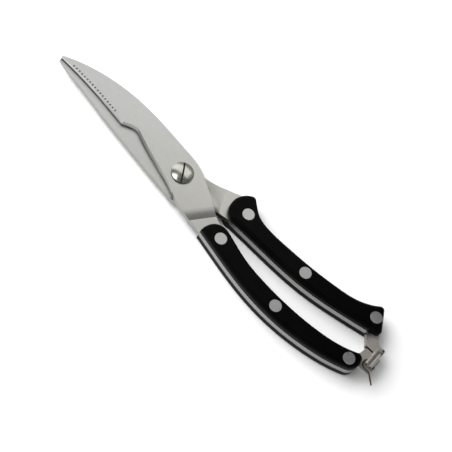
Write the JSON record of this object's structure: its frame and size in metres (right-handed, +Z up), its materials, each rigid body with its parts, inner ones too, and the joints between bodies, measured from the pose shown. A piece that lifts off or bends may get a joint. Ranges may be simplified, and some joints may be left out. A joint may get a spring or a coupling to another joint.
{
  "type": "poultry shears",
  "caption": "Poultry shears with a serrated, notched upper blade, slotted pivot screw, riveted curved handles and a tail latch, closed and lying flat.",
  "frame": {"origin": "on the pivot axis, at the underside of the barrel nut, in the plane that the shears lie on", "axes": "+X from the pivot to the tails of the handles, so the tips point along -X; +Y towards the thumb handle; +Z up, away from the surface"},
  "size_m": [0.2678, 0.0543, 0.0141],
  "materials": {
    "blade_steel": "satin ground stainless steel",
    "handle_black": "semi-gloss moulded black plastic",
    "rivet_metal": "fine brushed, ground flush",
    "screw_steel": "polished stainless steel",
    "spring_steel": "oiled spring steel",
    "latch_steel": "stamped stainless steel",
    "wire_dark": "dark drawn spring wire"
  },
  "bodies": {
    "thumb_half": {"bottom_blade": "blade_steel", "thumb_scale_top": "handle_black", "thumb_scale_bottom": "handle_black", "thumb_rivet_head_1": "rivet_metal", "thumb_rivet_head_2": "rivet_metal", "thumb_rivet_head_3": "rivet_metal", "thumb_rivet_socket_1": "rivet_metal", "thumb_rivet_socket_2": "rivet_metal", "thumb_rivet_socket_3": "rivet_metal", "pivot_nut": "screw_steel", "pivot_screw": "screw_steel", "pivot_washer": "screw_steel", "pivot_spring": "spring_steel", "latch_stud": "latch_steel"},
    "finger_half": {"top_blade": "blade_steel", "finger_scale_top": "handle_black", "finger_scale_bottom": "handle_black", "finger_rivet_head_1": "rivet_metal", "finger_rivet_head_2": "rivet_metal", "finger_rivet_head_3": "rivet_metal", "finger_rivet_socket_1": "rivet_metal", "finger_rivet_socket_2": "rivet_metal", "finger_rivet_socket_3": "rivet_metal", "latch_pin": "latch_steel"},
    "latch": {"latch_hook": "latch_steel", "latch_wire": "wire_dark"}
  },
  "joints": [
    {"name": "blade_pivot", "type": "hinge", "parent": "thumb_half", "child": "finger_half", "pos_m": [0, 0, 0.007], "axis": [0, 0, -1], "range_deg": [0, 30], "stiffness_Nm_per_rad": 0.25, "springref_deg": 30},
    {"name": "latch_pivot", "type": "hinge", "parent": "finger_half", "child": "latch", "pos_m": [0.1558, -0.0124, 0.0107], "axis": [0, 0, 1], "range_deg": [-60, 5]}
  ]
}
